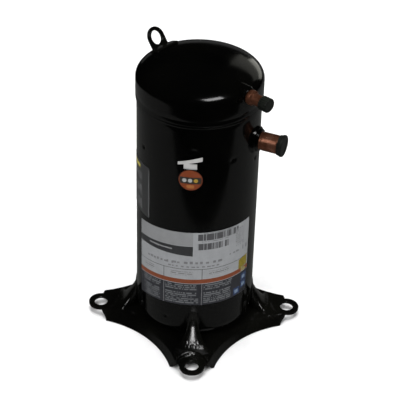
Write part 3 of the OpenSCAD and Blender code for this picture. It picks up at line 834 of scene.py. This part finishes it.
# Eye plate: thickness, outer radius and leg below the eye; foot: distance and thickness
LUG_T = 4.0
LUG_OUT_R = 14.5
LUG_LEG = 17.0
LUG_FOOT_R = 64.0
LUG_FOOT_T = 2.6
LUG_POS = Vector(mount("lifting_eye")["pos_m"]) / MM
LUG_AXIS = Vector(mount("lifting_eye")["axis"])
LUG_DIR = direction_of(LUG_POS)


def lifting_lug(paint):
    """Stamped eye plate that leans outwards, bent up from a foot that lies on the dome."""
    bm = bmesh.new()
    side = Vector((-LUG_AXIS.y, LUG_AXIS.x, 0)).normalized()
    up = LUG_AXIS.cross(side)
    place = Matrix((side, up, LUG_AXIS)).transposed().to_4x4()
    place.translation = LUG_POS - LUG_AXIS * LUG_T / 2
    turns = [math.radians(a) for a in range(0, 181, 6)]
    outer = [(LUG_OUT_R * math.cos(a), LUG_OUT_R * math.sin(a)) for a in turns]
    outer += [(-LUG_OUT_R, -LUG_LEG * k / 4) for k in range(1, 5)]
    outer += [(LUG_OUT_R * k / 3, -LUG_LEG) for k in range(-2, 3)]
    outer += [(LUG_OUT_R, -LUG_LEG * k / 4) for k in range(4, 0, -1)]
    angles = [math.atan2(y, x) for x, y in outer]
    eye = [(LUG_EYE_R * math.cos(a), LUG_EYE_R * math.sin(a)) for a in angles]

    def ring(points, scale, depth):
        return [place @ Vector((x * scale, y * scale, depth)) for x, y in points]

    rim = 0.9
    edge = [(rim, 0), (0.3, 0.25), (0, rim), (0, LUG_T - rim), (0.3, LUG_T - 0.25), (rim, LUG_T)]
    loops = [ring(outer, 1 - inset / LUG_OUT_R, depth) for inset, depth in edge]
    loops += [ring(eye, 1 + inset / LUG_EYE_R, depth) for inset, depth in reversed(edge)]
    bridge(bm, loops)
    plate = link_mesh("lifting_lug_plate", bm, [paint], sharp=50)
    stand_for(plate, BODY, "lifting_lug")
    lug_foot(paint)


def lug_foot(paint):
    """Bent strap under the eye: a strip that follows the dome, rounded at its ends."""
    bm = bmesh.new()
    turn = Matrix.Rotation(math.radians(LUG_DIR), 4, "Z")
    half_len, half_wid, end_round = 23.0, 7.0, 7.0
    rows, cols = 24, 8

    def on_dome(u, v, lift):
        x, y = u, -LUG_FOOT_R - v
        return turn @ Vector((x, y, dome_z(math.hypot(x, y)) + lift))

    def thickness(u, v, width):
        edge = max(abs(u) / half_len, abs(v) / width)
        return LUG_FOOT_T * (1 - max(0.0, edge - 0.86) * 3.0)

    loops = []
    for i in range(rows + 1):
        u = half_len * (2 * i / rows - 1)
        past = max(0.0, abs(u) - half_len + end_round)
        width = half_wid * math.sqrt(max(0.04, 1 - past ** 2 / end_round ** 2))
        across = [width * (2 * j / cols - 1) for j in range(cols + 1)]
        top = [on_dome(u, v, thickness(u, v, width)) for v in across]
        loops.append(top + [on_dome(u, v, -1.0) for v in reversed(across)])
    rings = bridge(bm, loops, closed=False)
    for ring in (rings[0], rings[-1]):
        for j in range(cols):
            bm.faces.new((ring[j], ring[j + 1], ring[-2 - j], ring[-1 - j]))
    ride_on(link_mesh("lifting_lug_foot", bm, [paint], sharp=50), BODY)


# ---- Fittings ----


# Each outline is a list of (distance from the tube's axis, distance from the shell's axis,
# corner radius).
def fitting(kind, place, materials, outlines, plug_steps=72, move=None, bends=5):
    """Boss, copper tube and slip-over cap in place of the CAD's collar, stub and cap.

    move shapes the cap, and bends is the number of steps in each of the tube's corners.
    """
    paint, copper_finish, rubber_finish = materials
    boss, stub, plug = outlines
    collar = turned(kind + "_boss", round_corners(boss), 72, paint, place)
    stand_for(collar, BODY, kind + "_collar")
    tube = turned(kind + "_tube", round_corners(stub, bends), 72, copper_finish, place)
    stand_for(tube, BODY, kind + "_stub")
    cap = turned(kind + "_plug", round_corners(plug), plug_steps, rubber_finish, place, move)
    stand_for(cap, kind + "_cap", kind + "_cap")
    return tube


def suction_fitting(*materials):
    """Stepped boss, tube with a slight bell, and smooth cap."""
    bore = SUCTION_BORE_R
    out = bore + SUCTION_WALL
    seat = out + DRILL_PLAY
    start, end = radial_span("suction_stub", SUCTION_DIR)
    first, last = radial_span("suction_cap", SUCTION_DIR)
    boss = [(seat, 74, 0), (19.5, 74, 0), (19.2, SHELL_R - 1.5, 1.0), (17.6, SHELL_R + 3.2, 1.4),
            (15.6, SHELL_R + 3.6, 0.8), (15.0, SHELL_R + 6.6, 1.0), (seat, SHELL_R + 7.4, 0.6)]
    stub = [(bore, start, 0.3), (out, start, 0.3), (out, SHELL_R + 9.5, 0.6),
            (out + 0.35, SHELL_R + 10.6, 0.6), (out + 0.35, end - 6, 0.5), (out, end - 5, 0.5),
            (out, end, 0.4), (bore, end, 0.4)]
    plug = [(0, end + 0.2, 0), (seat, end + 0.2, 0.3), (seat, first, 0.2),
            (out + 1.5, first, 0.5), (out + 1.5, last - 4.2, 0.5), (out + 2.6, last - 3.8, 0.9),
            (out + 2.6, last, 1.2), (out - 2.0, last, 1.0), (out - 3.4, last - 0.7, 0.8),
            (0, last - 0.7, 0)]
    place = along(SUCTION_DIR, SUCTION_Z)
    return fitting("suction", place, materials, (boss, stub, plug), bends=4)


def discharge_fitting(*materials):
    """Low boss, tube with a brazed bead, and knurled cap."""
    bore = DISCHARGE_BORE_R
    out = bore + DISCHARGE_WALL
    seat = out + DRILL_PLAY
    start, end = radial_span("discharge_stub", DISCHARGE_DIR)
    first, last = radial_span("discharge_cap", DISCHARGE_DIR)
    bead = CAP_R + 1.6
    ribs = 20
    boss = [(seat, 66, 0), (12.4, 66, 0), (12.2, CAP_R - 3, 1.2), (11.2, CAP_R - 0.6, 1.2),
            (10.4, CAP_R + 1.4, 0.6), (seat, CAP_R + 1.5, 0.4)]
    stub = [(bore, start, 0.3), (out, start, 0.3), (out, bead, 0), (out + 1.8, bead, 0.8),
            (out + 2.7, bead + 3.0, 1.6), (out + 2.4, bead + 6.5, 1.4),
            (out + 0.2, bead + 8.6, 1.4), (out, bead + 12, 1.0), (out, end, 0.4),
            (bore, end, 0.4)]
    plug = [(0, end + 0.2, 0), (seat, end + 0.2, 0.3), (seat, first, 0.2),
            (out + 2.0, first, 0.7), (out + 2.2, last, 1.6), (0, last, 0)]

    def knurl(ring_deg, radius, height):
        if radius < out + 1.2:
            return radius
        return radius - 0.6 * (0.5 + 0.5 * math.cos(math.radians(ring_deg * ribs)))

    place = along(DISCHARGE_DIR, DISCHARGE_Z)
    return fitting("discharge", place, materials, (boss, stub, plug), plug_steps=160, move=knurl)


# ---- Labels ----

WHITE_FILM = (0.29, 0.30, 0.31)
GREY_FILM = (0.024, 0.025, 0.031)
SIDE_FILM = (0.030, 0.031, 0.032)
BAR_INK = (0.07, 0.07, 0.075)


def layer_depths(layer):
    """Inner and outer radius of a printed layer; layer 0 is the film itself."""
    inner = LABEL_R if layer == 0 else LABEL_R + LABEL_T - 0.02
    return inner, LABEL_R + LABEL_T + layer * PRINT_T


def label_tilt(deg):
    """Slight tilt of the nameplate, as stuck on by hand, in millimetres."""
    droop = 0.0019 if deg < 0 else 0.0007
    return 0.045 * deg - droop * deg * deg


def patch(bm, deg_a, deg_b, z_low, z_high, layer=0, material=0, tilt=label_tilt):
    """Thin curved slab on the shell. Heights may be a pair: at deg_a and at deg_b."""
    z_low = z_low if isinstance(z_low, tuple) else (z_low, z_low)
    z_high = z_high if isinstance(z_high, tuple) else (z_high, z_high)
    inner, outer = layer_depths(layer)
    count = max(1, math.ceil(abs(deg_b - deg_a) / 2.5))
    uv = bm.loops.layers.uv.verify()
    rings = []
    for k in range(count + 1):
        t = k / count
        deg = deg_a + (deg_b - deg_a) * t
        shift = tilt(deg) if tilt else 0.0
        z0 = z_low[0] + (z_low[1] - z_low[0]) * t + shift
        z1 = z_high[0] + (z_high[1] - z_high[0]) * t + shift
        out = toward(deg)
        rings.append([bm.verts.new(out * r + Vector((0, 0, z)))
                      for r, z in ((outer, z0), (outer, z1), (inner, z1), (inner, z0))])
    faces = []
    for a, b in zip(rings, rings[1:]):
        for i in range(4):
            j = (i + 1) % 4
            faces.append(bm.faces.new((a[i], b[i], b[j], a[j])))
    faces.append(bm.faces.new(rings[0]))
    faces.append(bm.faces.new(list(reversed(rings[-1]))))
    for face in faces:
        face.material_index = material
        for loop in face.loops:
            co = loop.vert.co
            deg = direction_of(co)
            flat = tilt(deg) if tilt else 0.0
            loop[uv].uv = (math.radians(deg) * SHELL_R, co.z - flat)


def link_label(name, bm, materials, node):
    """Label from a bmesh, whose printed layers aren't merged."""
    stand_for(link_mesh(name, bm, materials, sharp=30.0, merge=False), BODY, node)


def marks(bm, deg_a, deg_b, z_low, z_high, count, material, layer=2):
    """Short printed dashes scattered along a row."""
    for k in range(count):
        deg = deg_a + (deg_b - deg_a) * (k + rng.uniform(0.1, 0.5)) / count
        wide = rng.uniform(0.35, 0.8) * (deg_b - deg_a) / count
        tall = rng.uniform(0.6, 1.0) * (z_high - z_low)
        patch(bm, deg, deg + wide, z_low, z_low + tall, layer, material)


def nameplate():
    """Wrap-round label: generic bars, strokes and blank fields, with no lettering."""
    white, silver, band = 0, 1, 2
    orange, grey, ink = 3, 4, 5
    small, pale_rows, bars_a, bars_b = 6, 7, 8, 9
    yellow, pale_yellow, blue, pale_blue = 10, 11, 12, 13
    materials = [
        film("label_white", WHITE_FILM),
        film("label_silver", (0.23, 0.235, 0.24)),
        film("label_band", (0.030, 0.031, 0.033)),
        film("label_orange", (0.20, 0.045, 0.012)),
        film("label_grey", GREY_FILM),
        film("label_ink", (0.17, 0.17, 0.18)),
        text_rows("label_small_print", WHITE_FILM, (0.15, 0.15, 0.155), 3.4, 0.45, 1.1, 3),
        text_rows("label_pale_rows", GREY_FILM, (0.13, 0.137, 0.145), 3.3, 0.6, 1.5, 5),
        bar_rows("label_bars_a", WHITE_FILM, BAR_INK, 0.75, 11),
        bar_rows("label_bars_b", WHITE_FILM, BAR_INK, 0.75, 12),
        film("label_yellow", (0.22, 0.17, 0.004)),
        film("label_pale_yellow", (0.26, 0.22, 0.08)),
        film("label_blue", (0.022, 0.042, 0.11)),
        film("label_pale_blue", (0.15, 0.21, 0.30)),
    ]
    left, right, top, bottom = -63.0, 60.0, 199.0, 76.0
    split, col_a, col_b = -2.0, -30.5, 7.0
    bm = bmesh.new()
    patch(bm, left, right, bottom, top, 0, white)
    patch(bm, left, split, 177.0, top, 1, silver)
    patch(bm, left, split, (165.5, 160.0), 176.2, 1, band)
    patch(bm, -48, -22, (170, 169), (172, 171), 2, silver)
    patch(bm, -46, -24, (166.6, 165.4), (168.2, 167.0), 2, grey)
    patch(bm, left, right, 113.5, 120.5, 1, orange)
    patch(bm, left, right, bottom, 112.6, 1, grey)
    patch(bm, 2.5, 44.0, 186.0, 196.5, 1, bars_a)
    patch(bm, 2.5, 33.0, 170.5, 181.0, 1, bars_b)
    patch(bm, 6, 34, 182.3, 184.6, 1, small)
    patch(bm, 8, 38, 197.0, 198.3, 1, small)
    patch(bm, 41, 52, 162, 192, 1, small)
    marks(bm, 34, 47, 153, 156, 4, ink)
    marks(bm, 50, 57, 152, 160, 2, ink)
    marks(bm, -52, -20, 146, 150, 8, ink)
    marks(bm, -24, 26, 147.0, 151.5, 9, ink)
    marks(bm, -28, 24, 141.0, 143.4, 11, ink)
    patch(bm, left, right, 137.4, 138.0, 1, grey)
    for deg in (col_a, col_b):
        patch(bm, deg, deg + 0.5, 120.5, 137.4, 1, grey)
        patch(bm, deg, deg + 0.6, bottom, 112.6, 2, ink)
    for a, b in ((-55, -42), (-24, -2), (14, 34)):
        patch(bm, a, b, 127.0, 133.5, 1, small)
    for a, b in ((-57, col_a - 2), (col_a + 2, col_b - 2), (col_b + 2, 40)):
        for z0, z1 in ((101.5, 111.0), (89.5, 99.0), (79.0, 87.5)):
            patch(bm, a, b - rng.uniform(0, 3), z0, z1, 2, pale_rows)
    patch(bm, 46.5, 58.5, (120.0, 122.0), (136.0, 139.0), 2, yellow)
    patch(bm, 50.0, 57.0, (114.0, 114.0), (121.5, 117.5), 2, pale_yellow)
    for a, z in ((50.5, 97.0), (50.5, 84.0), (41.0, 78.0)):
        patch(bm, a, a + 8.0, z, z + 12.0, 2, blue)
        patch(bm, a + 1.5, a + 6.0, z + 2.5, z + 8.5, 3, pale_blue)
    link_label("nameplate", bm, materials, "nameplate_label")


def round_label():
    """Plain orange disc with a dark band and three plain spots, on the shell's curve."""
    centre, height, radius = -5.8, 283.0, 16.0
    tones = {"orange": (0.20, 0.036, 0.004), "rim": (0.07, 0.015, 0.004),
             "band": (0.03, 0.025, 0.02), "white": (0.34, 0.34, 0.33),
             "yellow": (0.36, 0.22, 0.015), "pale": (0.34, 0.11, 0.02)}
    materials = [film("sticker_" + name, tone) for name, tone in tones.items()]
    bm = bmesh.new()

    def disc(x, z, r, layer, material, cut=None):
        """Disc on the curved shell; cut keeps only heights between two values."""
        steps = 48
        inner, outer = layer_depths(layer)
        ring, inner_ring = [], []
        for k in range(steps):
            a = 2 * math.pi * k / steps
            px, pz = x + r * math.cos(a), z + r * math.sin(a)
            if cut:
                pz = min(max(pz, cut[0]), cut[1])
            deg = centre + math.degrees(px / SHELL_R)
            for store, depth in ((ring, outer), (inner_ring, inner)):
                store.append(bm.verts.new(toward(deg) * depth + Vector((0, 0, pz))))
        for store in (ring, inner_ring):
            last = (store[0], store[0])
            for k in range(1, steps // 2):
                now = (store[k], store[-k])
                corners = list(dict.fromkeys((last[0], now[0], now[1], last[1])))
                bm.faces.new(corners).material_index = material
                last = now
            bm.faces.new((last[0], store[steps // 2], last[1])).material_index = material
        for k in range(steps):
            j = (k + 1) % steps
            side = (ring[k], ring[j], inner_ring[j], inner_ring[k])
            bm.faces.new(side).material_index = material

    disc(0, height, radius, 0, 1)
    disc(0, height, radius - 0.9, 1, 0)
    disc(0, height, radius - 1.6, 2, 2, cut=(height - 5.5, height + 4.5))
    disc(0, height - 9.5, 5.0, 2, 5, cut=(height - 12.5, height - 7.5))
    for x, material in ((-8.0, 3), (-0.5, 3), (7.0, 4)):
        disc(x, height - 0.5, 2.9, 3, material)
    bmesh.ops.dissolve_degenerate(bm, edges=bm.edges, dist=1e-4)
    link_label("round_label", bm, materials, "round_sticker")


def white_tag():
    """Short white tag with a tilted strip across its top."""
    materials = [film("tag_white", (0.44, 0.44, 0.43)), film("tag_grey", (0.24, 0.245, 0.245))]
    bm = bmesh.new()
    patch(bm, -12.3, -0.2, 299.8, 308.0, 0, 0, tilt=None)
    patch(bm, -17.8, 4.6, (305.0, 312.5), (309.5, 319.0), 1, 0, tilt=None)
    patch(bm, -12.0, -0.6, 300.2, 301.2, 2, 1, tilt=None)
    link_label("white_tag", bm, materials, "tag_sticker")


def side_label():
    """Dark label at the left, with a pale edge, a yellow bar and rows of strokes."""
    materials = [film("side_grey", SIDE_FILM), film("side_pale", (0.20, 0.20, 0.205)),
                 film("side_yellow", (0.45, 0.38, 0.06)),
                 text_rows("side_rows", SIDE_FILM, (0.16, 0.16, 0.165), 4.2, 0.5, 1.6, 9)]
    bm = bmesh.new()
    patch(bm, -86, -49.5, 200, 280, 0, 0, tilt=None)
    patch(bm, -50.2, -49.6, 203, 277, 1, 1, tilt=None)
    patch(bm, -84, -66, 268, 274, 1, 2, tilt=None)
    for z0, z1 in ((250, 262), (228, 244), (206, 222)):
        patch(bm, -84, -62, z0, z1, 1, 3, tilt=None)
    link_label("side_plate", bm, materials, "side_label")


# ---- Terminal box at the rear ----


def rounded_rect(half_w, half_h, radius, per_side=8, per_corner=6):
    """Closed outline of a rounded rectangle, anticlockwise from its lower right corner."""
    points = []
    for quarter, (sx, sz) in enumerate(((1, -1), (1, 1), (-1, 1), (-1, -1))):
        cx, cz = sx * (half_w - radius), sz * (half_h - radius)
        start = -90 + 90 * quarter
        for k in range(per_corner + 1):
            a = math.radians(start + 90 * k / per_corner)
            points.append((cx + radius * math.cos(a), cz + radius * math.sin(a)))
    full = []
    for a, b in zip(points, points[1:] + points[:1]):
        full.append(a)
        if math.dist(a, b) > 2 * radius:
            full += [(a[0] + (b[0] - a[0]) * k / per_side, a[1] + (b[1] - a[1]) * k / per_side)
                     for k in range(1, per_side)]
    return full


def face_sizes(lowest, highest):
    """Middle height, half width and half height of a box seen from the rear."""
    return ((lowest.z + highest.z) / 2, (highest.x - lowest.x) / 2, (highest.z - lowest.z) / 2)


def terminal_housing(plastic):
    """Open-fronted box that sits on the shell, with a conduit hole below."""
    mid_z, half_w, half_h = face_sizes(BOX_LOW, BOX_HIGH)
    front = BOX_HIGH.y
    outer = rounded_rect(half_w, half_h, 4.0)
    inner = rounded_rect(half_w - 1.5, half_h - 1.5, 2.5)

    def on_shell(x):
        return math.sqrt((SHELL_R + 0.1) ** 2 - x * x)

    def loop(outline, depth):
        """depth is a Y, or None for the curve of the shell."""
        return [Vector((x, depth or on_shell(x), mid_z + z)) for x, z in outline]

    bm = bmesh.new()
    bridge(bm, [loop(outer, None), loop(outer, front - 0.5), loop(outer, front),
                loop(inner, front), loop(inner, front - 0.5), loop(inner, None)])
    piece = link_mesh("terminal_housing", bm, [plastic], sharp=40)
    hole = mount("conduit_hole")
    where = Vector(hole["pos_m"]) / MM
    drill(piece, [cutter_rod(hole["dims"]["r_mm"], -8, 8, Matrix.Translation(where))])
    stand_for(piece, BODY, "terminal_box")


def terminal_lid(plastic):
    """Snap cover: rounded dish with a raised panel inside a groove, and a notch in its lower lip.
    """
    mid_z, half_w, half_h = face_sizes(COVER_LOW, COVER_HIGH)
    back, front = COVER_LOW.y, COVER_HIGH.y
    inside = front - 1.5
    notch = (6.0, 38.0)

    def loop(shrink, corner, depth, lip=False):
        points = []
        for x, z in rounded_rect(half_w - shrink, half_h - shrink, corner):
            y = depth
            if lip and z < 0 and notch[0] < x < notch[1] and abs(z) > half_h - 6:
                y = inside - 0.4
            points.append(Vector((x, y, mid_z + z)))
        return points

    bm = bmesh.new()
    face = [(0, 4.5, 1.6), (0.5, 4.2, 0.5), (1.6, 3.6, 0.1), (9, 3.0, 0.1), (10, 3.0, 0.6),
            (11, 3.0, 0.6), (12, 3.0, 0.02)]
    outer = [loop(shrink, corner, front - depth) for shrink, corner, depth in face]
    inner = [loop(1.5, 3.2, inside), loop(1.5, 3.2, back, True)]
    rings = bridge(bm, inner + [loop(0, 4.5, back, True)] + outer, closed=False)
    bm.faces.new(rings[0])
    bm.faces.new(rings[-1])
    lid = link_mesh("terminal_lid", bm, [plastic], sharp=40)
    stand_for(lid, "terminal_cover", "terminal_cover")


# ---- CAD nodes that keep their shape ----


def dress(finishes):
    """Gives the carried CAD nodes their finishes, from (material, node names) pairs."""
    for material, names in finishes:
        for name in names.split():
            for slot in frame["nodes"][name].material_slots:
                slot.material = material


def inner_finishes():
    return [
        (cast_iron("housing_iron"), "main_bearing_housing lower_bearing_bracket"),
        (cast_iron("scroll_iron", (0.34, 0.34, 0.35), (0.22, 0.22, 0.23)),
         "non_orbiting_scroll orbiting_scroll"),
        (steel("ground_steel"),
         "check_valve_seat check_valve_cage floating_seal drive_bush crankshaft "
         "lower_thrust_plate"),
        (steel("bright_steel", (0.55, 0.55, 0.56), (0.42, 0.42, 0.43), (0.16, 0.3)),
         "check_valve_disc bush_washer guide_sleeves"),
        (steel("pressed_steel", (0.30, 0.30, 0.31), (0.20, 0.20, 0.21), (0.35, 0.5), (1, 1, 1)),
         "terminal_cup muffler_plate scroll_bolts suction_baffle oil_pickup"),
        (plain("bearing_bronze", (0.42, 0.28, 0.14), metallic=1.0, rough=(0.3, 0.45)),
         "hub_bearing main_bearing lower_bearing"),
        (plain("cast_aluminium", (0.55, 0.55, 0.56), metallic=1.0, rough=(0.35, 0.5)),
         "oldham_ring rotor_cage"),
        (plain("seal_polymer", (0.035, 0.035, 0.038)),
         "outer_seal_ring inner_seal_ring motor_protector"),
        (laminations("core_sheets"), "rotor_core stator_core"),
        (enamel_wire("winding_enamel_wire"), "stator_winding"),
        (plain("plated_brass", (0.62, 0.48, 0.20), metallic=1.0, rough=(0.22, 0.38)),
         "terminal_pins relief_valve upper_counterweight lower_counterweight"),
        (plain("seal_glass_body", (0.03, 0.07, 0.06), rough=(0.08, 0.16)), "terminal_glass"),
        (plain("terminal_block_plastic", (0.55, 0.54, 0.48), change=0.08),
         "terminal_block inner_plug"),
        (plain("lead_insulation_red", (0.35, 0.03, 0.02)), "motor_leads"),
        (plain("ground_screw_green", (0.03, 0.22, 0.08), rough=(0.25, 0.4)), "ground_screw"),
        (plain("magnet_ferrite_body", (0.05, 0.05, 0.052), rough=(0.5, 0.7)), "sump_magnet"),
    ]


# ---- Everything ----

camera()
studio()
floor()

gloss_black = black_paint("gloss_black")
base_black = black_paint("base_black", dark=(0.0018, 0.0018, 0.0016),
                         dusty=(0.005, 0.005, 0.004), smooth=0.12, rough=0.22, peel=0.00004)
copper_tube = copper("copper_tube")
cap_rubber = rubber("cap_rubber_black")
box_plastic = plain("box_plastic", (0.008, 0.008, 0.0085), rough=(0.38, 0.5), bump_scale=1400,
                    bump=0.00006)

base = base_pressing(base_black)
shell_skin(gloss_black)
seam_bead(gloss_black)
cap = cap_skin(gloss_black)
bottom_skin(gloss_black)
lifting_lug(base_black)
tubes = [suction_fitting(gloss_black, copper_tube, cap_rubber),
         discharge_fitting(gloss_black, copper_tube, cap_rubber)]
for light, pieces in (("rib_glint", [base]), ("copper_glint", tubes), ("horizon_right", [cap]),
                      ("horizon_haze", [cap])):
    only_on(light, pieces)
nameplate()
round_label()
white_tag()
side_label()
terminal_housing(box_plastic)
terminal_lid(box_plastic)
dress(inner_finishes())
